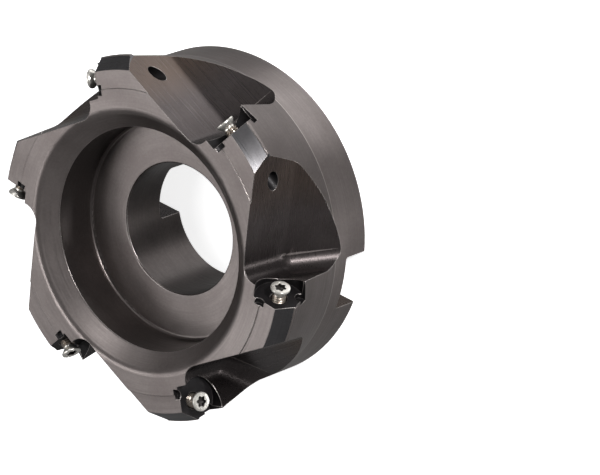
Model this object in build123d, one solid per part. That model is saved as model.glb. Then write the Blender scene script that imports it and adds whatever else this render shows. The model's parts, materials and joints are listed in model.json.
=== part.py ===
from build123d import *
import os
from math import cos, radians, sin

# A 4 inch right-hand shell face mill with six empty insert pockets, in millimetres.
# Frame: +Z runs along the cutter's axis towards the cutting face, the origin is the centre
# of the back face, and X runs along the drive slots. The cutter turns anticlockwise seen
# from +Z. A tooth is drawn in its own frame: u is radial, t runs the way the tooth cuts,
# z is the cutter's axis, and the insert screw's head lies at t = 0.

# Bore, counterbore and back
BORE_R = 19.05                # for a 1 1/2 inch arbor
BORE_CHAMFER = 0.3
COUNTERBORE_R = 32.2          # takes the head of the arbor's lock screw
COUNTERBORE_Z = 23.7
COUNTERBORE_FILLET = 1.0
RIM_R, RIM_Z = 32.5, 37.6     # the counterbore's rim, at the foot of the dish
HUB_R = 47.85
HUB_CHAMFER = 0.4
SLOT_WIDTH = 15.9             # 5/8 inch drive keys
SLOT_DEPTH = 8.8
SLOT_CORNER_R = 0.8

# Outline of the teeth and the front face
CREASE_Z = 13.8               # the hub's cylinder ends and the taper starts
FACE_Z = 41.95
DISH_R = 37.3                 # the dished ring ends and the flat face starts
DISH_BLEND_R = 3.0
STEP_R, STEP_DROP = 43.85, 0.3
SHOULDER_R, SHOULDER_Z = 49.0, 41.5
CORNER_R, CORNER_Z = 52.1, 36.85
BAND_R, BAND_WIDTH = 52.4, 1.1
TAPER_R = 52.0

# Teeth, gullets and pockets
TEETH = 6
FIRST_TOOTH = 7.75            # degrees from X to the first screw's head
SCREW_U, SCREW_Z = 47.5, 38.1
SCREW_DIRECTION = (0.235, 0.945, 0.23)
SEAT_BELOW_HEAD = 3.9         # along the screw, from the head's face to the seat
POCKET_R = 6.9
POCKET_RELIEF_R = 1.6
POCKET_RELIEF_DEPTH = 1.5
POCKET_RELIEF_ANGLES = (-116, 52)
RAKE_POINT = (42.0, -0.2, FACE_Z)
RAKE_NORMAL = (-0.22, 1.0, -0.045)
FLOOR_POINT = (37.2, 5.0, FACE_Z)
FLOOR_NORMAL = (1.0, -0.03, 0.06)
RAMP_POINT = (47.5, 5.0, 11.6)
RAMP_NORMAL = (1.0, 0.0, 0.69)
ROOT_R = 4.7
FOLD_R = 6.0

# Insert screws, M4 with a flat 6-lobe head, and their tapped holes
THREAD_R = 2.0
THREAD_CLEARANCE = 0.05
SCREW_LENGTH = 11.5
HEAD_R = 2.75
HEAD_RIM = 0.55
HEAD_CONE = 1.25
TIP_CHAMFER = 0.5
SOCKET_R = 1.65               # 15 size, over the lobes
SOCKET_ROOT_R = 1.2
SOCKET_DEPTH = 1.4
HOLE_LENGTH = 26.0
HOLE_CHAMFER = 0.4

CUT = 80.0                    # longer than anything it cuts


def unit(vector):
    """The vector at a length of one."""
    return Vector(*vector).normalized()


def screw_plane():
    """The screw's plane in the tooth's frame: origin on the seat, Z along the screw."""
    axis = unit(SCREW_DIRECTION)
    head = Vector(SCREW_U, 0, SCREW_Z)
    outwards = axis.cross(Vector(0, 0, 1)).normalized()
    return Plane(origin=head - axis * SEAT_BELOW_HEAD, x_dir=outwards, z_dir=axis)


def tooth_turn(index):
    """The turn that carries the tooth frame to one tooth's place."""
    return Rotation(0, 0, FIRST_TOOTH + 360 / TEETH * index)


def body_blank():
    """The turned blank: bore, counterbore, dished face, tooth outline and hub."""
    outline = [
        (BORE_R + BORE_CHAMFER, 0),
        (HUB_R - HUB_CHAMFER, 0),
        (HUB_R, HUB_CHAMFER),
        (HUB_R, CREASE_Z),
        (TAPER_R, CORNER_Z - BAND_WIDTH),
        (BAND_R, CORNER_Z - BAND_WIDTH + 0.2),
        (BAND_R, CORNER_Z),
        (CORNER_R, CORNER_Z + 0.1),
        (SHOULDER_R, SHOULDER_Z),
        (STEP_R, FACE_Z - STEP_DROP),
        (STEP_R, FACE_Z),
        (DISH_R, FACE_Z),
        (RIM_R, RIM_Z),
        (COUNTERBORE_R, RIM_Z - 0.2),
        (COUNTERBORE_R, COUNTERBORE_Z),
        (BORE_R + BORE_CHAMFER, COUNTERBORE_Z),
        (BORE_R, COUNTERBORE_Z - BORE_CHAMFER),
        (BORE_R, BORE_CHAMFER),
    ]
    edges = [straight(start, end) for start, end in zip(outline, outline[1:] + outline[:1])]
    section = Plane.XZ * make_face(edges)
    section = fillet(nearest(section.vertices(), (DISH_R, 0, FACE_Z)), DISH_BLEND_R)
    floor_corner = nearest(section.vertices(), (COUNTERBORE_R, 0, COUNTERBORE_Z))
    return revolve(fillet(floor_corner, COUNTERBORE_FILLET), Axis.Z)


def straight(start, end):
    """An edge of the outline. Where the gullets cut a cone its edge is a straight Bezier curve,
    because a flat cut through an exact cone ends in a hyperbola, which kernels measure badly."""
    if start[0] > DISH_R and start[0] != end[0] and start[1] != end[1]:
        middle = ((start[0] + end[0]) / 2, (start[1] + end[1]) / 2)
        return Bezier(start, middle, end)
    return Line(start, end)


def drive_slots():
    """One straight slot across the back, which gives a key seat on each side of the bore."""
    slot = Box(CUT * 2, SLOT_WIDTH, SLOT_DEPTH * 2)
    corners = slot.edges().filter_by(Axis.X).group_by(Axis.Z)[-1]
    return fillet(corners, SLOT_CORNER_R)


def nearest(shapes, point):
    """The one of several vertices or edges that is nearest to a point."""
    return shapes.sort_by(lambda shape: shape.distance_to(Vector(*point)))[0]


def halved(solid, point, normal):
    """The part of a solid on the side of a plane that its normal points to."""
    return split(solid, bisect_by=Plane(origin=point, z_dir=normal), keep=Keep.TOP)


def touches(edge, point, normal, reach):
    """Whether an edge's ends and middle all lie within a reach of a plane."""
    heights = [(edge.position_at(part) - Vector(*point)).dot(unit(normal)) for part in (0, 0.5, 1)]
    return all(abs(height) < reach for height in heights)


def is_root(edge):
    """Whether an edge of the chip space runs where the rake face meets the floor or ramp."""
    on_floor = touches(edge, FLOOR_POINT, FLOOR_NORMAL, FOLD_R / 2)
    on_ramp = touches(edge, RAMP_POINT, RAMP_NORMAL, FOLD_R / 2)
    return touches(edge, RAKE_POINT, RAKE_NORMAL, 0.01) and (on_floor or on_ramp)


def gullet():
    """The chip space ahead of a tooth: rake face, flat floor and the ramp to the hub."""
    space = halved(Box(CUT * 3, CUT * 3, CUT * 3), FLOOR_POINT, FLOOR_NORMAL)
    space = halved(space, RAKE_POINT, RAKE_NORMAL)
    space = halved(space, RAMP_POINT, RAMP_NORMAL)
    fold = [edge for edge in space.edges() if touches(edge, FLOOR_POINT, FLOOR_NORMAL, 0.01)
            and touches(edge, RAMP_POINT, RAMP_NORMAL, 0.01)]
    space = fillet(fold, FOLD_R)
    return fillet([edge for edge in space.edges() if is_root(edge)], ROOT_R)


def pocket():
    """The insert's round pocket above its seat, with a relief at each end of the wall."""
    space = Pos(0, 0, CUT / 4) * Cylinder(POCKET_R, CUT / 2)
    reach = POCKET_R - POCKET_RELIEF_R / 2
    for angle in POCKET_RELIEF_ANGLES:
        place = Pos(reach * cos(radians(angle)), reach * sin(radians(angle)), -POCKET_RELIEF_DEPTH)
        space += place * Cylinder(POCKET_RELIEF_R, CUT / 2,
                                  align=(Align.CENTER, Align.CENTER, Align.MIN))
    return screw_plane().location * space


def screw_hole():
    """The tapped hole from the seat right through to the tooth's trailing flank."""
    radius = THREAD_R + THREAD_CLEARANCE
    hole = Pos(0, 0, 1 - HOLE_LENGTH / 2) * Cylinder(radius, HOLE_LENGTH + 2)
    mouth = Pos(0, 0, -HOLE_CHAMFER / 2) * Cone(radius, radius + HOLE_CHAMFER, HOLE_CHAMFER)
    return screw_plane().location * (hole + mouth)


def cutter_body():
    """The milled body: the blank less slots, gullets, pockets and screw holes."""
    body = body_blank() - drive_slots()
    cuts = (gullet(), pocket(), screw_hole())
    for index in range(TEETH):
        for cut in cuts:
            body -= tooth_turn(index) * cut
    return body


def socket():
    """The 6-lobe driver socket, cut from the head's face downwards."""
    lobe_r = SOCKET_R - SOCKET_ROOT_R
    star = Cylinder(SOCKET_ROOT_R, SOCKET_DEPTH)
    for lobe in range(6):
        star += Rotation(0, 0, 60 * lobe) * Pos(SOCKET_ROOT_R, 0, 0) * Cylinder(lobe_r, SOCKET_DEPTH)
    return Pos(0, 0, -SOCKET_DEPTH / 2) * star


def insert_screw():
    """One screw along its own Z, with its head's face at the height it stands proud."""
    outline = [
        (0, -SCREW_LENGTH),
        (THREAD_R - TIP_CHAMFER, -SCREW_LENGTH),
        (THREAD_R, TIP_CHAMFER - SCREW_LENGTH),
        (THREAD_R, -HEAD_RIM - HEAD_CONE),
        (HEAD_R, -HEAD_RIM),
        (HEAD_R, 0),
        (0, 0),
    ]
    screw = revolve(Plane.XZ * make_face(Polyline(*outline, close=True)), Axis.Z)
    return Pos(0, 0, SEAT_BELOW_HEAD) * (screw - socket())


def main():
    """Writes each piece to its own file."""
    os.makedirs("parts", exist_ok=True)
    export_step(cutter_body(), "parts/cutter_body.step")
    screw = screw_plane().location * insert_screw()
    for index in range(TEETH):
        export_step(tooth_turn(index) * screw, f"parts/insert_screw_{index + 1}.step")


main()
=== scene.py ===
"""Dresses a packed shell face mill: the gashed steel body and the six insert screws on its teeth."""

import json
import logging
from dataclasses import dataclass
from enum import Enum
from math import atan2, cos, pi, radians, sin, tau
from typing import Any, Callable, Sequence

import bmesh
import bpy
import numpy as np
from mathutils import Matrix, Vector

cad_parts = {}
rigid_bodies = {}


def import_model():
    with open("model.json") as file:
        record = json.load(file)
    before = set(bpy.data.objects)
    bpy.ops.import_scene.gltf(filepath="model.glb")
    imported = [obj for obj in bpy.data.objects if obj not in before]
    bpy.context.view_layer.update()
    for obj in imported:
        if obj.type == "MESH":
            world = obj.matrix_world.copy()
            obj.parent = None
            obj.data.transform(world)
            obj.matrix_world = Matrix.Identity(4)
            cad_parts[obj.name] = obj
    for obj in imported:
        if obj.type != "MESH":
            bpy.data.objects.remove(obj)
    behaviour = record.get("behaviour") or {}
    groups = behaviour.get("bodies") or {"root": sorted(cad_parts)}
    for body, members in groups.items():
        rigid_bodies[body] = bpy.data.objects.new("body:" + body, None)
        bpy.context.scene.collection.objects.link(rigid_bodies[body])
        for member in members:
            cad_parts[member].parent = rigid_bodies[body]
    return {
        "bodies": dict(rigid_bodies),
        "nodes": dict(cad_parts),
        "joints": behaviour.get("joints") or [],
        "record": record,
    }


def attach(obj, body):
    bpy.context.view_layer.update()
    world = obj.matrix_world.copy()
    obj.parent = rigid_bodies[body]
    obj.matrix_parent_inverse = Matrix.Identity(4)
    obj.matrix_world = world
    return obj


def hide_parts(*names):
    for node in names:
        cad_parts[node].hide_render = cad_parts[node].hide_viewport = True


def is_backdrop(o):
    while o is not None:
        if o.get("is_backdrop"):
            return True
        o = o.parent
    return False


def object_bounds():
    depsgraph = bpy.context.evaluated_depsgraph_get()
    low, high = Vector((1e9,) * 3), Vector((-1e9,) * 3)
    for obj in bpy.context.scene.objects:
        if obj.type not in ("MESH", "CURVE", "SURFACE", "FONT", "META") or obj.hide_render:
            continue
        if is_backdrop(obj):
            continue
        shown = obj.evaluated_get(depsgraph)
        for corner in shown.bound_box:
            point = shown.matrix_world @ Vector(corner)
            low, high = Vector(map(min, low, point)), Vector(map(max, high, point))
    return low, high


LOG = logging.getLogger("face_mill")
MM = 0.001
CUT_PLACE = "cut_place"
CAD_NORMAL = "cad_normal"
WHITE = (1.0, 1.0, 1.0)
# The mix node's sockets for colours; its other kinds of value have sockets of the same names.
MIX_FIRST, MIX_SECOND, MIX_RESULT = 6, 7, 2
# How many marks with a run of 1 a radian of a turned face holds.
TURNED_LENGTH = 40.0
# How many directions the corner rounding looks in.
EASED_SAMPLES = 4

Colour = tuple[float, float, float]
Socket = bpy.types.NodeSocket
Ring = Callable[[float], tuple[float, float]]
Points = list[bmesh.types.BMVert]


class Lay(Enum):
    """How a surface's tool marks run."""

    TURNED = "round the part's own axis"
    MILLED = "straight along the tooth's cuts"


class Surface(Enum):
    """What cut each stretch of the body, in the order of its material slots."""

    RING = 0
    BORE = 1
    CHIP_SPACE = 2
    POCKET = 3
    EDGE = 4
    BAND = 5


class Part(Enum):
    """A stretch of an insert screw, in the order of its material slots."""

    SOCKET = 0
    HEAD = 1
    THREAD = 2


def placed(name: str, data: Any) -> bpy.types.Object:
    """Adds an object to the scene.

    Args:
        name: the object's name.
        data: its mesh, lamp or camera.

    Returns:
        The new object.
    """
    piece = bpy.data.objects.new(name, data)
    bpy.context.scene.collection.objects.link(piece)
    return piece


def ring_of(work: bmesh.types.BMesh, steps: int, ring: Ring, unit: float = 1.0) -> Points:
    """Puts a ring of points round Z.

    Args:
        work: the mesh they are added to.
        steps: how many points go round.
        ring: gives the radius and the height at an angle.
        unit: the length of the ring's unit, in metres.

    Returns:
        The points.
    """
    points = []
    for step in range(steps):
        angle = tau * step / steps
        radius, height = ring(angle)
        points.append(work.verts.new(Vector((radius * cos(angle), radius * sin(angle), height)) * unit))
    return points


def strip(work: bmesh.types.BMesh, upper: Points, lower: Points) -> list[bmesh.types.BMFace]:
    """Joins two rings with a strip of faces.

    Args:
        work: the mesh the faces are added to.
        upper: one ring's points.
        lower: the other's, as many.

    Returns:
        The faces.
    """
    pairs = list(zip(upper, lower))
    return [work.faces.new((above, next_above, next_below, below))
            for (above, below), (next_above, next_below) in zip(pairs, pairs[1:] + pairs[:1])]


@dataclass(frozen=True)
class Grain:
    """One pattern of tool marks, sizes in millimetres.

    Attributes:
        lay: the way the marks run.
        pitch: the width of a mark across the lay.
        run: how long a mark is: in pitches where it is straight, in fortieths of a radian where it
            is turned.
        depth: how deep the marks are.
    """

    lay: Lay
    pitch: float
    run: float
    depth: float


class Board:
    """A material's node tree, with short calls for the nodes that the finishes use."""

    def __init__(self, name: str) -> None:
        """Starts an empty tree with a shader.

        Args:
            name: the material's name.
        """
        self.material = bpy.data.materials.new(name)
        self.material.use_nodes = True
        self.tree = self.material.node_tree
        self.tree.nodes.clear()
        self.shader = self.add("ShaderNodeBsdfPrincipled")
        output = self.add("ShaderNodeOutputMaterial")
        self.tree.links.new(self.shader.outputs["BSDF"], output.inputs["Surface"])

    def add(self, kind: str, **settings: Any) -> bpy.types.Node:
        """Adds a node.

        Args:
            kind: the node's type name.
            **settings: properties to set on it.

        Returns:
            The new node.
        """
        node = self.tree.nodes.new(kind)
        for key, value in settings.items():
            setattr(node, key, value)
        return node

    def feed(self, target: Socket, value: Any) -> None:
        """Links a socket to a target, or sets a plain value on it.

        Args:
            target: the input to feed.
            value: a socket, a number or a colour.
        """
        if isinstance(value, Socket):
            self.tree.links.new(value, target)
        elif hasattr(value, "__len__") and len(value) == 3 and len(target.default_value) == 4:
            target.default_value = (*value, 1.0)
        else:
            target.default_value = value

    def math(self, operation: str, first: Any, second: Any = 0.0) -> Socket:
        """One sum of two values.

        Args:
            operation: the math node's operation.
            first: the first value or socket.
            second: the second value or socket.

        Returns:
            The result's socket.
        """
        node = self.add("ShaderNodeMath", operation=operation)
        self.feed(node.inputs[0], first)
        self.feed(node.inputs[1], second)
        return node.outputs[0]

    def spread(self, value: Socket, low: float, high: float, start: Any = 0.0, end: Any = 1.0) -> Socket:
        """Maps a value's range onto another.

        Args:
            value: the socket to map.
            low: where it starts.
            high: where it ends.
            start: the result at low.
            end: the result at high.

        Returns:
            The mapped value's socket, held between start and end.
        """
        node = self.add("ShaderNodeMapRange", clamp=True)
        for name, part in zip(("Value", "From Min", "From Max", "To Min", "To Max"),
                              (value, low, high, start, end)):
            self.feed(node.inputs[name], part)
        return node.outputs["Result"]

    def blend(self, factor: Any, first: Any, second: Any) -> Socket:
        """Mixes two colours.

        Args:
            factor: how much of the second shows.
            first: a colour or its socket.
            second: a colour or its socket.

        Returns:
            The mixed colour's socket.
        """
        node = self.add("ShaderNodeMix", data_type="RGBA")
        self.feed(node.inputs["Factor"], factor)
        self.feed(node.inputs[MIX_FIRST], first)
        self.feed(node.inputs[MIX_SECOND], second)
        return node.outputs[MIX_RESULT]

    def noise(self, place: Socket, scale: float, detail: float = 3.0, rough: float = 0.5) -> Socket:
        """A noise value.

        Args:
            place: the coordinates it is read at.
            scale: its scale.
            detail: how many finer layers it has.
            rough: how strong the finer layers are.

        Returns:
            The value's socket.
        """
        node = self.add("ShaderNodeTexNoise")
        for name, value in (("Vector", place), ("Scale", scale), ("Detail", detail), ("Roughness", rough)):
            self.feed(node.inputs[name], value)
        return node.outputs["Fac"]

    def along(self, grain: Grain) -> Socket:
        """Coordinates stretched along a grain's lay, one unit for each mark across it.

        Args:
            grain: the tool marks.

        Returns:
            The coordinates' socket.
        """
        across = 1 / (grain.pitch * MM)
        if grain.lay is Lay.TURNED:
            x, y, height = self.split(self.object_place())
            squares = self.math("ADD", self.math("MULTIPLY", x, x), self.math("MULTIPLY", y, y))
            outward = self.math("SQRT", squares)
            onward, length = self.math("ARCTAN2", y, x), TURNED_LENGTH / grain.run
        else:
            outward, onward, height = self.split(self.cut_place())
            length = across / grain.run
        parts = (self.math("MULTIPLY", outward, across), self.math("MULTIPLY", height, across),
                 self.math("MULTIPLY", onward, length))
        joined = self.add("ShaderNodeCombineXYZ")
        for target, part in zip(joined.inputs, parts):
            self.feed(target, part)
        return joined.outputs[0]

    def object_place(self) -> Socket:
        """The object's own coordinates."""
        return self.add("ShaderNodeTexCoord").outputs["Object"]

    def cut_place(self) -> Socket:
        """The coordinates in a tooth's frame that CutterBody.mark_places stored."""
        return self.add("ShaderNodeAttribute", attribute_name=CUT_PLACE).outputs["Vector"]

    def split(self, place: Socket) -> Sequence[Socket]:
        """Takes coordinates apart.

        Args:
            place: the coordinates.

        Returns:
            The sockets of their three parts.
        """
        node = self.add("ShaderNodeSeparateXYZ")
        self.feed(node.inputs[0], place)
        return tuple(node.outputs)

    def eased(self, radius: float) -> Socket:
        """The normal with its corners rounded over.

        Args:
            radius: how far from an edge the rounding starts, in millimetres.

        Returns:
            The normal's socket.
        """
        node = self.add("ShaderNodeBevel", samples=EASED_SAMPLES)
        self.feed(node.inputs["Radius"], radius * MM)
        return node.outputs[0]

    def bump(self, height: Socket, strength: float, depth: float, normal: Socket) -> Socket:
        """Bumps on a normal.

        Args:
            height: the value that gives the bumps.
            strength: how far they show, from 0 to 1.
            depth: how deep they are, in millimetres.
            normal: the normal they are laid on.

        Returns:
            The new normal's socket.
        """
        node = self.add("ShaderNodeBump")
        for name, value in (("Strength", strength), ("Distance", depth * MM),
                            ("Height", height), ("Normal", normal)):
            self.feed(node.inputs[name], value)
        return node.outputs[0]


@dataclass(frozen=True)
class PaintedShadeAndBrown:
    """Painted shade near the insert and the brown where chips leave a chip space, with places in millimetres
    along the cut.

    Attributes:
        painted_shade_end: where the painted shade round the insert ends.
        painted_shade: how far the painted shade covers the colour.
        painted_shade_tone: the painted shade's brightness, as a share of the finish's deep colour.
        brown_span: where the brown starts and where it is full.
        brown: how far it covers the colour.
        tint: the brown's own colour.
    """

    painted_shade_end: float = 14.0
    painted_shade: float = 0.55
    painted_shade_tone: float = 0.25
    brown_span: tuple[float, float] = (16.0, 26.0)
    brown: float = 0.7
    tint: Colour = (0.13, 0.085, 0.055)


@dataclass(frozen=True)
class SteelFinish:
    """A machined and blackened or plated steel surface.

    Attributes:
        name: the material's name.
        deep: the colour in the coat's darker patches.
        light: the colour in its lighter patches.
        wear_and_highlight_colour: the colour of its edge wear and of its painted highlight rings.
        metallic: how far it reflects as bare metal.
        gloss: the lowest and highest roughness.
        grain: its tool marks.
        edge: the width of its edge wear and of its painted highlight rings, in millimetres.
        wear: the brightness of its edge wear and of its painted highlight rings, from 0 to 1.
        anisotropy: how far its highlights stretch across the marks.
        painted_highlight_rings: the heights of the thin painted highlight rings where two turned faces meet,
            in millimetres.
        painted_shade_and_brown: the painted shade and the brown on it, if it is a chip space.
        speck_share: how far the fine specks add to the slow patches.
        streak_share: how far the tool marks darken the colour.
        streak_gloss: how far the tool marks set the roughness; the slow patches set the rest.
        coat_bump: how far the specks show as bumps, from 0 to 1.
        coat_depth: how deep they are, in millimetres.
        mark_bump: how far the tool marks show as bumps, from 0 to 1.
    """

    name: str
    deep: Colour
    light: Colour
    wear_and_highlight_colour: Colour
    metallic: float
    gloss: tuple[float, float]
    grain: Grain
    edge: float = 0.25
    wear: float = 0.6
    anisotropy: float = 0.0
    painted_highlight_rings: tuple[float, ...] = ()
    painted_shade_and_brown: PaintedShadeAndBrown | None = None
    speck_share: float = 0.3
    streak_share: float = 0.45
    streak_gloss: float = 0.6
    coat_bump: float = 0.3
    coat_depth: float = 0.01
    mark_bump: float = 0.6

    def material(self) -> bpy.types.Material:
        """Builds the finish.

        Returns:
            The new material.
        """
        board = Board(self.name)
        place = board.object_place()
        clouds = board.noise(place, scale=45.0, detail=4.0, rough=0.55)
        specks = board.noise(place, scale=1400.0, detail=2.0, rough=0.6)
        marks = board.noise(board.along(self.grain), scale=1.0, detail=3.0, rough=0.6)
        patches = board.math("ADD", clouds, board.math("MULTIPLY", specks, self.speck_share))
        colour = board.blend(board.spread(patches, low=0.45, high=0.85), self.deep, self.light)
        streaks = board.spread(marks, low=0.3, high=0.7)
        colour = board.blend(board.math("MULTIPLY", streaks, self.streak_share), colour, self.deep)
        if self.painted_shade_and_brown:
            colour = self.with_painted_shade_and_brown(board, colour, clouds, self.painted_shade_and_brown)
        wear_and_highlight_mask = self.worn_edges(board, clouds)
        # Painted highlight: thin bright rings at the creases join the edge wear's mask.
        for height in self.painted_highlight_rings:
            wear_and_highlight_mask = board.math("MAXIMUM", wear_and_highlight_mask, self.painted_highlight_ring(board, height, clouds))
        colour = board.blend(wear_and_highlight_mask, colour, self.wear_and_highlight_colour)
        board.feed(board.shader.inputs["Base Color"], colour)
        board.feed(board.shader.inputs["Metallic"], self.metallic)
        uneven = board.math("ADD", board.math("MULTIPLY", streaks, self.streak_gloss),
                            board.math("MULTIPLY", clouds, 1 - self.streak_gloss))
        least, most = self.gloss
        rough = board.spread(uneven, low=0.2, high=0.8, start=least, end=most)
        board.feed(board.shader.inputs["Roughness"], rough)
        if self.anisotropy:
            board.feed(board.shader.inputs["Anisotropic"], self.anisotropy)
        board.feed(board.shader.inputs["Normal"], self.relief(board, marks, specks))
        return board.material

    def with_painted_shade_and_brown(self, board: Board, colour: Socket, clouds: Socket, painted_shade_and_brown: PaintedShadeAndBrown) -> Socket:
        """Darkens a chip space towards its insert with painted shade, and browns the end where the chips
        leave.

        Args:
            board: the material's board.
            colour: the colour to stain.
            clouds: a slow noise that breaks the brown up.
            painted_shade_and_brown: the painted shade and the brown on it.

        Returns:
            The colour's socket, with the painted shade and the brown.
        """
        along = board.split(board.cut_place())[1]
        # Painted shade: the colour darkens towards the insert, in the recess where shade falls.
        painted_shade = board.spread(along, low=0.0, high=painted_shade_and_brown.painted_shade_end * MM, start=painted_shade_and_brown.painted_shade, end=0.0)
        start, full = painted_shade_and_brown.brown_span
        brown = board.spread(along, low=start * MM, high=full * MM, start=0.0, end=painted_shade_and_brown.brown)
        darker = board.blend(painted_shade, colour, tuple(painted_shade_and_brown.painted_shade_tone * part for part in self.deep))
        return board.blend(board.math("MULTIPLY", brown, clouds), darker, painted_shade_and_brown.tint)

    def painted_highlight_ring(self, board: Board, height: float, clouds: Socket) -> Socket:
        """A thin painted highlight ring at one height.

        Args:
            board: the material's board.
            height: the ring's height, in millimetres.
            clouds: a slow noise that breaks the ring up.

        Returns:
            A mask's socket, 1 on the ring.
        """
        level = board.split(board.object_place())[2]
        apart = board.math("ABSOLUTE", board.math("SUBTRACT", level, height * MM))
        ring = board.spread(apart, low=0.0, high=self.edge * MM, start=self.wear, end=0.0)
        patchy = board.spread(clouds, low=0.25, high=0.6, start=0.6, end=1.0)
        return board.math("MULTIPLY", ring, patchy)

    def worn_edges(self, board: Board, clouds: Socket) -> Socket:
        """Where the coat wears off along the edges.

        Args:
            board: the material's board.
            clouds: a slow noise that breaks the wear up.

        Returns:
            A mask's socket, 1 on the edge wear.
        """
        dot = board.add("ShaderNodeVectorMath", operation="DOT_PRODUCT")
        board.feed(dot.inputs[0], board.eased(self.edge))
        board.feed(dot.inputs[1], board.add("ShaderNodeNewGeometry").outputs["Normal"])
        bent = board.spread(dot.outputs["Value"], low=0.995, high=0.90)
        patchy = board.spread(clouds, low=0.3, high=0.6, start=0.5, end=1.0)
        return board.math("MULTIPLY", board.math("MULTIPLY", bent, patchy), self.wear)

    def relief(self, board: Board, marks: Socket, specks: Socket) -> Socket:
        """The bumps of the tool marks and the coat, on eased edges.

        Args:
            board: the material's board.
            marks: the tool marks' noise.
            specks: the coat's fine noise.

        Returns:
            The normal's socket.
        """
        coat = board.bump(specks, self.coat_bump, self.coat_depth, board.eased(self.edge))
        return board.bump(marks, self.mark_bump, self.grain.depth, coat)


TURNED_FINE = Grain(Lay.TURNED, pitch=0.45, run=14.0, depth=0.02)
BODY_FINISHES = {
    # Painted highlight: the turned ring's painted_highlight_rings are bright lines where its turned faces
    # meet.
    Surface.RING: SteelFinish(
        "dark_turned_steel", deep=(0.155, 0.134, 0.129), light=(0.25, 0.222, 0.214),
        wear_and_highlight_colour=(0.62, 0.57, 0.54), metallic=0.9, gloss=(0.30, 0.42), grain=TURNED_FINE,
        anisotropy=0.45, painted_highlight_rings=(13.8, 35.7)),
    # Painted shade: the bore and the counterbore wall are coloured far darker than the turned ring, for the
    # shade inside the recess.
    Surface.BORE: SteelFinish(
        "bored_steel_painted_shade", deep=(0.060, 0.051, 0.049), light=(0.11, 0.096, 0.092),
        wear_and_highlight_colour=(0.60, 0.56, 0.54), metallic=0.9, gloss=(0.28, 0.38), grain=TURNED_FINE, anisotropy=0.3),
    # Partly painted shade: the chip spaces are darker than the turned ring partly as the milled steel's own
    # tone and partly as painted shade in the gullets.
    Surface.CHIP_SPACE: SteelFinish(
        "milled_steel_partly_painted_shade", deep=(0.064, 0.054, 0.053), light=(0.118, 0.102, 0.101),
        wear_and_highlight_colour=(0.62, 0.58, 0.56), metallic=0.9, gloss=(0.24, 0.36),
        grain=Grain(Lay.MILLED, pitch=0.5, run=60.0, depth=0.02), painted_shade_and_brown=PaintedShadeAndBrown()),
    # Painted shade: the pockets and the screw holes are coloured near black, for the shade inside them.
    Surface.POCKET: SteelFinish(
        "pocket_steel_painted_shade", deep=(0.006, 0.005, 0.006), light=(0.018, 0.016, 0.016),
        wear_and_highlight_colour=(0.16, 0.15, 0.14), metallic=0.6, gloss=(0.40, 0.62),
        grain=Grain(Lay.MILLED, pitch=0.2, run=20.0, depth=0.02), wear=0.3),
    Surface.BAND: SteelFinish(
        "ground_bevel_steel", deep=(0.088, 0.085, 0.088), light=(0.150, 0.146, 0.152),
        wear_and_highlight_colour=(0.55, 0.53, 0.52), metallic=0.95, gloss=(0.26, 0.36), grain=TURNED_FINE),
    Surface.EDGE: SteelFinish(
        "rubbed_edge_steel", deep=(0.22, 0.195, 0.188), light=(0.40, 0.368, 0.355),
        wear_and_highlight_colour=(0.7, 0.67, 0.65), metallic=0.95, gloss=(0.25, 0.38), grain=TURNED_FINE, wear=0.3),
}
SCREW_GRAIN = Grain(Lay.TURNED, pitch=0.08, run=9.0, depth=0.008)
SCREW_FINISHES = {
    # Painted shade: the socket is coloured near black against the bright head, for the shade inside it.
    Part.SOCKET: SteelFinish(
        "socket_steel_painted_shade", deep=(0.020, 0.018, 0.017), light=(0.050, 0.046, 0.043),
        wear_and_highlight_colour=(0.2, 0.19, 0.18), metallic=0.7, gloss=(0.4, 0.6), grain=SCREW_GRAIN, edge=0.05, wear=0.2),
    Part.HEAD: SteelFinish(
        "bright_head_steel", deep=(0.62, 0.60, 0.56), light=(0.82, 0.79, 0.74),
        wear_and_highlight_colour=(0.95, 0.93, 0.9), metallic=0.85, gloss=(0.24, 0.36), grain=SCREW_GRAIN, edge=0.08, wear=0.4),
    Part.THREAD: SteelFinish(
        "oiled_thread_steel", deep=(0.30, 0.255, 0.22), light=(0.50, 0.44, 0.38),
        wear_and_highlight_colour=(0.85, 0.8, 0.74), metallic=0.95, gloss=(0.2, 0.34), grain=SCREW_GRAIN, edge=0.06, wear=0.5),
}


@dataclass
class Tooth:
    """One tooth's place: its insert screw's axis and the frame its cuts are drawn in.

    Attributes:
        body: the screw's body.
        axis: the screw's direction, out of its hole.
        head: the centre of the screw's head face.
        length: the screw's length.
    """

    body: str
    axis: Vector
    head: Vector
    length: float

    @classmethod
    def found(cls, body: str, axis: Sequence[float], node: bpy.types.Object) -> "Tooth":
        """Measures a screw's place on its CAD node.

        Args:
            body: the screw's body.
            axis: the joint's axis.
            node: the screw's CAD node.

        Returns:
            The tooth.
        """
        lead = Vector(axis).normalized()
        side = lead.orthogonal().normalized()
        frame = np.array([side, lead.cross(side), lead])
        points = np.array([vertex.co for vertex in node.data.vertices]) @ frame.T
        low, high = points.min(0), points.max(0)
        centre = Vector(frame[0]) * (low[0] + high[0]) / 2 + Vector(frame[1]) * (low[1] + high[1]) / 2
        return cls(body, lead, centre + lead * high[2], float(high[2] - low[2]))

    @property
    def angle(self) -> float:
        """The tooth's angle about the cutter's axis."""
        return atan2(self.head.y, self.head.x)

    def local(self, point: Vector) -> Vector:
        """A point in the tooth's frame: radial, along the cut, and along the cutter's axis."""
        return Matrix.Rotation(-self.angle, 3, "Z") @ point

    def from_axis(self, point: Vector) -> tuple[float, float]:
        """How far a point lies from the screw's axis, and how far along it from the head's face.

        Args:
            point: the point.

        Returns:
            The two lengths; the second is less than 0 below the head's face.
        """
        apart = point - self.head
        reach = apart.dot(self.axis)
        return (apart - self.axis * reach).length, reach


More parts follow.
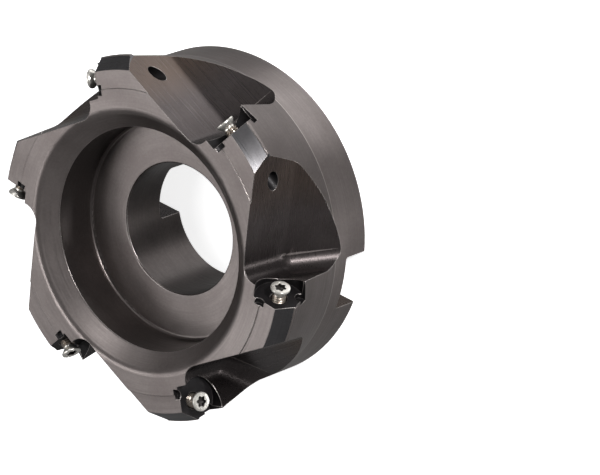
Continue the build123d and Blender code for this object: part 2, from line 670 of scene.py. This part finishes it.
@dataclass
class CutterBody:
    """The gashed body, drawn from its CAD node with eased edges, sizes in millimetres.

    Attributes:
        node: the CAD node's name.
        body: the body it rides on.
        teeth: the six teeth.
        weld: how near points of two CAD faces lie when they are joined.
        edge_break: how far the sharp edges are broken.
        sharp: the least angle of an edge that is broken, in degrees.
        crease: the least angle between two CAD faces that shows as a line, in degrees.
        pocket_r: how far a pocket's walls and reliefs reach from its screw's axis.
        seat_below_head: how far the deepest relief lies under the screw's head face.
        hole_r: the screw holes' radius and chamfer.
        recess_r: the largest radius of the bore and the counterbore.
        dish_r: the outer radius of the dished ring's blend.
        band_r: the least radius of the ground bevel round the teeth.
        wall_lean: how far a pocket's wall may lean from its screw's axis, as a cosine.
        seat_lean: how squarely a pocket's seat faces along that axis, as a cosine.
        bore_lean: how far a bored face turns inward, as a cosine.
        band_lean: the least and most that the ground bevel faces outward, as cosines.
        dish_lean: how far the dish's blend faces forward, as a cosine.
        turned_lean: how far a turned face may face round the axis, as a cosine.
        space_ahead: how far ahead of its screw a tooth's cuts have their middle, in radians.
    """

    node: str
    body: str
    teeth: list[Tooth]
    weld: float = 0.001
    edge_break: float = 0.12
    sharp: float = 12.0
    crease: float = 9.0
    pocket_r: float = 8.3
    seat_below_head: float = 5.6
    hole_r: float = 2.6
    recess_r: float = 32.3
    dish_r: float = 38.6
    band_r: float = 48.9
    wall_lean: float = 0.06
    seat_lean: float = 0.985
    bore_lean: float = 0.3
    band_lean: tuple[float, float] = (0.7, 0.92)
    dish_lean: float = 0.6
    turned_lean: float = 0.03
    space_ahead: float = pi / 7

    def build(self, frame: dict[str, Any]) -> bpy.types.Object:
        """Builds, dresses and places the body.


        Returns:
            The finished piece.
        """
        source = frame["nodes"][self.node].data
        mesh = bpy.data.meshes.new("cutter_body_steel")
        for kind in Surface:
            mesh.materials.append(BODY_FINISHES[kind].material())
        work = bmesh.new()
        work.from_mesh(source)
        self.sort_faces(work)
        self.join_faces(work, source)
        flats = self.break_edges(work)
        normals = self.shading(work, flats)
        work.to_mesh(mesh)
        work.free()
        mesh.normals_split_custom_set(normals)
        self.mark_places(mesh)
        piece = placed("cutter_body_steel", mesh)
        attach(piece, self.body)
        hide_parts(self.node)
        return piece

    def sort_faces(self, work: bmesh.types.BMesh) -> None:
        """Gives each face the material of the cut that made it.

        Args:
            work: the body's mesh.
        """
        for face in work.faces:
            face.smooth = True
            face.material_index = self.surface(face).value

    def surface(self, face: bmesh.types.BMFace) -> Surface:
        """What cut a face.

        Args:
            face: the face.

        Returns:
            The surface it belongs to.
        """
        centre, normal = face.calc_center_median(), face.normal
        tooth = min(self.teeth, key=lambda one: one.from_axis(centre)[0])
        places = [tooth.from_axis(vertex.co) for vertex in face.verts]
        inside = all(across < self.pocket_r * MM and along > -self.seat_below_head * MM
                     for across, along in places)
        lean = abs(normal.dot(tooth.axis))
        if inside and (lean < self.wall_lean or lean > self.seat_lean):
            return Surface.POCKET
        if all(across < self.hole_r * MM for across, _ in places):
            return Surface.POCKET
        outward = Vector((centre.x, centre.y, 0)).normalized()
        facing = normal.dot(outward)
        radii = [Vector(vertex.co[:2]).length for vertex in face.verts]
        if max(radii) < self.recess_r * MM and facing < -self.bore_lean:
            return Surface.BORE
        if min(radii) > self.band_r * MM and self.band_lean[0] < facing < self.band_lean[1]:
            return Surface.BAND
        dished = max(radii) < self.dish_r * MM and normal.z > self.dish_lean
        if dished or abs(normal.dot(Vector((-outward.y, outward.x, 0)))) < self.turned_lean:
            return Surface.RING
        return Surface.CHIP_SPACE

    def join_faces(self, work: bmesh.types.BMesh, source: bpy.types.Mesh) -> None:
        """Joins the CAD faces along their shared edges and keeps the creases between them crisp.

        Args:
            work: the body's mesh.
            source: the CAD node's mesh, whose corner normals tell a crease from a smooth blend.
        """
        layer = work.loops.layers.float_vector.new(CAD_NORMAL)
        for face, polygon in zip(work.faces, source.polygons):
            for loop, corner in zip(face.loops, polygon.loop_indices):
                loop[layer] = source.corner_normals[corner].vector
        bmesh.ops.remove_doubles(work, verts=work.verts, dist=self.weld * MM)
        for edge in work.edges:
            if len(edge.link_loops) != 2:
                continue
            one, other = edge.link_loops
            turns = (one[layer].angle(other.link_loop_next[layer], 0.0),
                     one.link_loop_next[layer].angle(other[layer], 0.0))
            edge.smooth = max(turns) < radians(self.crease)

    def break_edges(self, work: bmesh.types.BMesh) -> set[bmesh.types.BMFace]:
        """Puts a small flat on every sharp outer edge.

        Args:
            work: the body's mesh.

        Returns:
            The flats' faces.
        """
        work.normal_update()
        sharp = [edge for edge in work.edges
                 if not edge.smooth and edge.is_convex and edge.calc_face_angle(0.0) > radians(self.sharp)]
        flats = bmesh.ops.bevel(work, geom=sharp, offset=self.edge_break * MM, offset_type="WIDTH",
                                segments=1, affect="EDGES", clamp_overlap=False, profile=0.5,
                                material=Surface.EDGE.value)["faces"]
        made = set(flats)
        for face in flats:
            face.smooth = True
            for edge in face.edges:
                edge.smooth = all(side in made for side in edge.link_faces)
        return made

    def shading(self, work: bmesh.types.BMesh, flats: set[bmesh.types.BMFace]) -> list[Vector]:
        """The normal at every corner: the CAD's own, and a plain one on the flats.

        Args:
            work: the body's mesh.
            flats: the broken edges' faces.

        Returns:
            The normals, in the order of the mesh's corners.
        """
        layer = work.loops.layers.float_vector[CAD_NORMAL]
        normals = [Vector() if face in flats else loop[layer].normalized()
                   for face in work.faces for loop in face.loops]
        work.loops.layers.float_vector.remove(layer)
        return normals

    def mark_places(self, mesh: bpy.types.Mesh) -> None:
        """Stores each corner's place in the frame of the tooth behind its chip space.

        Args:
            mesh: the body's mesh.
        """
        place = mesh.attributes.new(CUT_PLACE, "FLOAT_VECTOR", "CORNER")
        for face in mesh.polygons:
            round_way = atan2(face.center.y, face.center.x)
            tooth = max(self.teeth, key=lambda one: cos(one.angle + self.space_ahead - round_way))
            for corner in face.loop_indices:
                place.data[corner].vector = tooth.local(mesh.vertices[mesh.loops[corner].vertex_index].co)


@dataclass
class InsertScrew:
    """A flat-headed insert screw with a rolled thread and a 6-lobe socket, sizes in millimetres.

    Attributes:
        head_r: the head's radius.
        rim: the height of its straight rim.
        cone: the height of the cone under it.
        thread_r: the thread's outer radius.
        core_r: the thread's root radius.
        pitch: the thread's pitch.
        neck: the plain length under the head's cone.
        tip: the length of the tip's bevel.
        lobe_r: the socket's radius at the lobes.
        web_r: the socket's radius between the lobes.
        socket_depth: the socket's depth.
        mouth: how far the socket's mouth is eased.
        lobes: how many lobes the socket has.
        lobe_power: how full the lobes are.
        floor_share: how wide the level part of the socket's floor is, as a share of the web's radius.
        foot_share: how wide the socket is where its floor starts to rise, as a share of its mouth.
        foot_rise: how high the foot of the socket's wall starts and ends over the floor.
        draft: how much narrower the socket is at its foot than at its mouth.
        floor_dip: how far the socket's floor dips at its middle.
        face_r: the radius of a ring of points between the socket's mouth and the head's rim.
        ease: how far the head's corner is rounded.
        fillet: the radius that the neck has beyond the thread's root.
        flank: the thread's height at a crest before it is cut level, and its slope each side.
        flank_power: how full the flanks are.
        fade: how many pitches the thread takes to rise under the neck.
        rows_a_turn: how many rows of faces the thread has in a pitch.
        tip_rise: how high over the tip's flat the thread's last row lies.
        tip_step: how far the tip's flat lies inside the thread's root.
        segments: how many points go round.
        sharp: the least angle of an edge that shows as a line, in degrees.
        turned: how far each screw is turned on from the one before, in degrees.
    """

    head_r: float = 2.75
    rim: float = 0.55
    cone: float = 1.25
    thread_r: float = 2.0
    core_r: float = 1.58
    pitch: float = 0.7
    neck: float = 0.45
    tip: float = 0.5
    lobe_r: float = 1.65
    web_r: float = 1.18
    socket_depth: float = 1.4
    mouth: float = 0.06
    lobes: int = 6
    lobe_power: float = 0.8
    floor_share: float = 0.35
    foot_share: float = 0.8
    foot_rise: tuple[float, float] = (0.1, 0.25)
    draft: float = 0.02
    floor_dip: float = 0.12
    face_r: float = 2.0
    ease: float = 0.1
    fillet: float = 0.02
    flank: tuple[float, float] = (1.35, 2.7)
    flank_power: float = 0.9
    fade: float = 0.8
    rows_a_turn: int = 10
    tip_rise: float = 0.05
    tip_step: float = 0.35
    segments: int = 72
    sharp: float = 35.0
    turned: float = 23.0

    def socket_r(self, angle: float) -> float:
        """The socket's radius at an angle."""
        wave = (0.5 + 0.5 * cos(self.lobes * angle)) ** self.lobe_power
        return self.web_r + (self.lobe_r - self.web_r) * wave

    def socket_rings(self) -> list[Ring]:
        """The rings from the socket's floor up to its mouth.

        Returns:
            The rings.
        """
        foot, wall = self.foot_rise
        return [
            lambda a: (self.floor_share * self.web_r, -self.socket_depth),
            lambda a: (self.foot_share * self.socket_r(a), foot - self.socket_depth),
            lambda a: (self.socket_r(a) - self.draft, wall - self.socket_depth),
            lambda a: (self.socket_r(a), -self.mouth),
        ]

    def head_rings(self) -> list[Ring]:
        """The rings from the socket's mouth over the head, down its cone and along the neck.

        Returns:
            The rings.
        """
        ease, corner = self.ease, -self.rim
        shank, neck_r = -self.rim - self.cone, self.core_r + self.fillet
        stations = [(self.head_r - ease, 0.0), (self.head_r - 0.3 * ease, -0.3 * ease), (self.head_r, -ease),
                    (self.head_r, corner + 0.5 * ease), (self.head_r - 0.4 * ease, corner - 0.4 * ease),
                    (self.core_r + 2 * ease, shank + 1.2 * ease), (neck_r, shank),
                    (neck_r, shank - self.neck)]
        mouth: list[Ring] = [lambda a: (self.socket_r(a) + self.mouth, 0.0),
                             lambda a: (self.face_r + ease * cos(self.lobes * a), 0.0)]
        return mouth + [lambda a, station=station: station for station in stations]

    def thread_height(self, turns: float) -> float:
        """How high the thread's flank stands at a part of a turn, from 0 at its root to 1."""
        peak, slope = self.flank
        return min(1.0, max(0.0, peak - slope * abs(turns % 1.0 - 0.5))) ** self.flank_power

    def thread_rings(self, length: float) -> list[Ring]:
        """The rings down the thread, which fades in under the neck and out at the tip.

        Args:
            length: the screw's length.

        Returns:
            The rings.
        """
        top = -self.rim - self.cone - self.neck
        bottom = -length + self.tip_rise
        rows = int((top - bottom) / self.pitch * self.rows_a_turn)

        def ring(height: float) -> Ring:
            """The thread's ring at a height.

            Args:
                height: the height.

            Returns:
                The ring.
            """
            fade = min(1.0, (top - height) / (self.fade * self.pitch))
            limit = self.thread_r - self.tip * max(0.0, 1 - (height + length) / self.tip)

            def station(angle: float) -> tuple[float, float]:
                """The ring's radius and height at an angle.

                Args:
                    angle: the angle.

                Returns:
                    The radius and the height.
                """
                turns = height / self.pitch - angle / tau
                crest = self.core_r + (self.thread_r - self.core_r) * fade * self.thread_height(turns)
                return min(crest, limit), height

            return station

        return [ring(top + (bottom - top) * row / rows) for row in range(1, rows + 1)]

    def mesh(self, length: float) -> bpy.types.Mesh:
        """Builds the screw along Z with its head's face at 0.

        Args:
            length: the screw's length.

        Returns:
            The mesh.
        """
        stretches = {Part.SOCKET: self.socket_rings(), Part.HEAD: self.head_rings(),
                     Part.THREAD: self.thread_rings(length)
                     + [lambda a: (self.core_r - self.tip_step, -length)]}
        parts = [part for part, rings in stretches.items() for _ in rings]
        rings = [ring for rings in stretches.values() for ring in rings]
        work = bmesh.new()
        rows = [ring_of(work, self.segments, ring, MM) for ring in rings]
        for upper, lower, part in zip(rows, rows[1:], parts[1:]):
            for face in strip(work, upper, lower):
                face.material_index = part.value
        for row, height, part in ((rows[0], -self.socket_depth - self.floor_dip, Part.SOCKET),
                                  (rows[-1], -length, Part.THREAD)):
            centre = work.verts.new((0, 0, height * MM))
            for point, after in zip(row, row[1:] + row[:1]):
                work.faces.new((point, after, centre)).material_index = part.value
        bmesh.ops.recalc_face_normals(work, faces=work.faces)
        mesh = bpy.data.meshes.new("insert_screw_steel")
        work.to_mesh(mesh)
        work.free()
        mesh.shade_smooth()
        mesh.set_sharp_from_angle(angle=radians(self.sharp))
        return mesh

    def build(self, teeth: list[Tooth]) -> list[bpy.types.Object]:
        """Builds, dresses and places a screw on every tooth.

        Args:
            teeth: the teeth.

        Returns:
            The screws.
        """
        finishes = [SCREW_FINISHES[part].material() for part in Part]
        pieces = []
        for number, tooth in enumerate(teeth, 1):
            mesh = self.mesh(tooth.length / MM)
            for finish in finishes:
                mesh.materials.append(finish)
            piece = placed(f"insert_screw_steel_{number}", mesh)
            turn = tooth.axis.to_track_quat("Z", "Y").to_matrix().to_4x4()
            spin = Matrix.Rotation(radians(self.turned * number), 4, "Z")
            piece.matrix_world = Matrix.Translation(tooth.head) @ turn @ spin
            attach(piece, tooth.body)
            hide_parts(tooth.body)
            pieces.append(piece)
        return pieces


@dataclass(frozen=True)
class FloorFinish:
    """A pale matt surface that glows a little.

    Attributes:
        name: the material's name.
        deep: the colour in its darker patches.
        light: the colour in its lighter patches.
        patches: the patches' scale.
        roughness: how matt it is.
        glow: how strongly it glows.
    """

    name: str = "pale_floor"
    deep: Colour = (0.93, 0.93, 0.93)
    light: Colour = (0.95, 0.95, 0.95)
    patches: float = 3.0
    roughness: float = 0.9
    glow: float = 0.8

    def material(self) -> bpy.types.Material:
        """Builds the finish.

        Returns:
            The new material.
        """
        board = Board(self.name)
        colour = board.blend(board.noise(board.object_place(), self.patches), self.deep, self.light)
        for name, value in (("Base Color", colour), ("Roughness", self.roughness),
                            ("Emission Color", WHITE), ("Emission Strength", self.glow)):
            board.feed(board.shader.inputs[name], value)
        return board.material


@dataclass(frozen=True)
class Lamp:
    """A soft lamp, with its place measured from the object across, up and towards the camera.

    Attributes:
        name: the lamp's name.
        place: where it hangs, in metres.
        size: its two sides, in metres.
        power: its power, in watts.
    """

    name: str
    place: tuple[float, float, float]
    size: tuple[float, float]
    power: float


@dataclass
class Studio:
    """A pale floor, soft lights and the camera, sizes in metres.

    Attributes:
        floor_profile: the radius and the rise of each of the floor's rings.
        floor_steps: how many points go round it.
        lens: the camera's focal length, in millimetres.
        sensor: the camera's sensor's width, in millimetres.
        stand: where the camera stands.
        sight: the direction from the object to the camera.
        up: the camera's upward direction.
        sky: the strength of the pale surroundings.
        gap: how far the floor lies under the object.
        lamps: the lamps.
    """

    floor_profile: tuple[tuple[float, float], ...] = (
        (0.3, 0.0), (2.5, 0.0), (4.0, 0.15), (5.2, 0.9), (6.0, 2.4))
    floor_steps: int = 96
    lens: float = 258.7
    sensor: float = 36.0
    stand: Vector = Vector((0.6339, 0.5008, 0.9270))
    sight: Vector = Vector((0.5008, 0.4099, 0.7623))
    up: Vector = Vector((-0.3926, 0.8925, -0.222))
    sky: float = 0.2
    gap: float = 0.00002
    lamps: tuple[Lamp, ...] = (
        Lamp("face", (-0.80, -0.16, 0.16), (0.6, 0.6), 1.3),
        Lamp("face_near", (-0.62, -0.12, 0.40), (0.2, 0.2), 1.0),
        Lamp("over", (-0.35, 0.55, 0.55), (0.3, 0.3), 1.0),
        Lamp("hub_upper", (0.46, 0.68, -0.20), (0.6, 0.6), 1.6),
        Lamp("hub_top", (0.12, 0.80, -0.15), (0.25, 0.25), 0.4),
        Lamp("hub_lower", (0.83, -0.10, 0.02), (0.14, 0.14), 0.7),
        Lamp("near", (0.24, 0.16, 0.55), (0.05, 0.05), 4.0),
    )

    def floor(self, height: float) -> bpy.types.Object:
        """Lays a round floor whose rim curves up.

        Args:
            height: the floor's height.

        Returns:
            The floor.
        """
        work = bmesh.new()
        rows = [ring_of(work, self.floor_steps, lambda a, station=(radius, height + rise): station)
                for radius, rise in self.floor_profile]
        for inner, outer in zip(rows, rows[1:]):
            strip(work, inner, outer)
        work.faces.new(rows[0])
        bmesh.ops.recalc_face_normals(work, faces=work.faces)
        mesh = bpy.data.meshes.new("floor")
        work.to_mesh(mesh)
        work.free()
        mesh.shade_smooth()
        mesh.materials.append(FloorFinish().material())
        floor = placed("floor", mesh)
        floor.visible_glossy = False
        floor.visible_shadow = False
        floor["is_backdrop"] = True
        return floor

    def light(self, lamp: Lamp, place: Vector, target: Vector) -> None:
        """Hangs a lamp.

        Args:
            lamp: the lamp.
            place: where it hangs.
            target: what it faces.
        """
        data = bpy.data.lights.new(lamp.name, "AREA")
        data.shape = "RECTANGLE"
        data.size, data.size_y = lamp.size
        data.energy = lamp.power
        piece = placed(lamp.name, data)
        piece.location = place
        piece.rotation_euler = (target - place).to_track_quat("-Z", "Y").to_euler()

    def camera(self) -> None:
        """Sets the camera."""
        data = bpy.data.cameras.new("camera")
        data.lens = self.lens
        data.sensor_width = self.sensor
        camera = placed("camera", data)
        back = self.sight.normalized()
        right = self.up.cross(back).normalized()
        turn = Matrix((right, back.cross(right), back)).transposed().to_4x4()
        camera.matrix_world = Matrix.Translation(self.stand) @ turn
        bpy.context.scene.camera = camera

    def build(self, low: Vector, high: Vector) -> bpy.types.Object:
        """Sets the floor, the lights, the sky and the camera.

        Args:
            low: the object's lowest corner.
            high: its highest corner.

        Returns:
            The floor.
        """
        floor = self.floor(low.z - self.gap)
        middle = (low + high) / 2
        right = self.up.cross(self.sight).normalized()
        up = self.sight.cross(right).normalized()
        for lamp in self.lamps:
            across, rise, near = lamp.place
            self.light(lamp, middle + right * across + up * rise + self.sight * near, middle)
        world = bpy.data.worlds.new("studio")
        world.use_nodes = True
        sky = world.node_tree.nodes["Background"]
        sky.inputs["Color"].default_value = (*WHITE, 1.0)
        sky.inputs["Strength"].default_value = self.sky
        bpy.context.scene.world = world
        bpy.context.scene.view_settings.view_transform = "Standard"
        self.camera()
        return floor


def corners() -> list[list[float]]:
    """The visible model's box as plain lists."""
    return [[float(value) for value in corner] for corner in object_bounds()]


def main() -> None:
    """Builds the face mill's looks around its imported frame."""
    logging.basicConfig(level=logging.INFO, format="%(message)s")
    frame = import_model()
    before = corners()
    low, high = (Vector(corner) for corner in before)
    teeth = [Tooth.found(joint["child"], joint["axis"], frame["nodes"][joint["child"]])
             for joint in frame["joints"]]
    pieces = [CutterBody("cutter_body", "cutter_body", teeth).build(frame), *InsertScrew().build(teeth),
              Studio().build(low, high)]
    for piece in pieces:
        LOG.info("%s: %d faces", piece.name, len(piece.data.polygons))


if __name__ == "__main__":
    main()
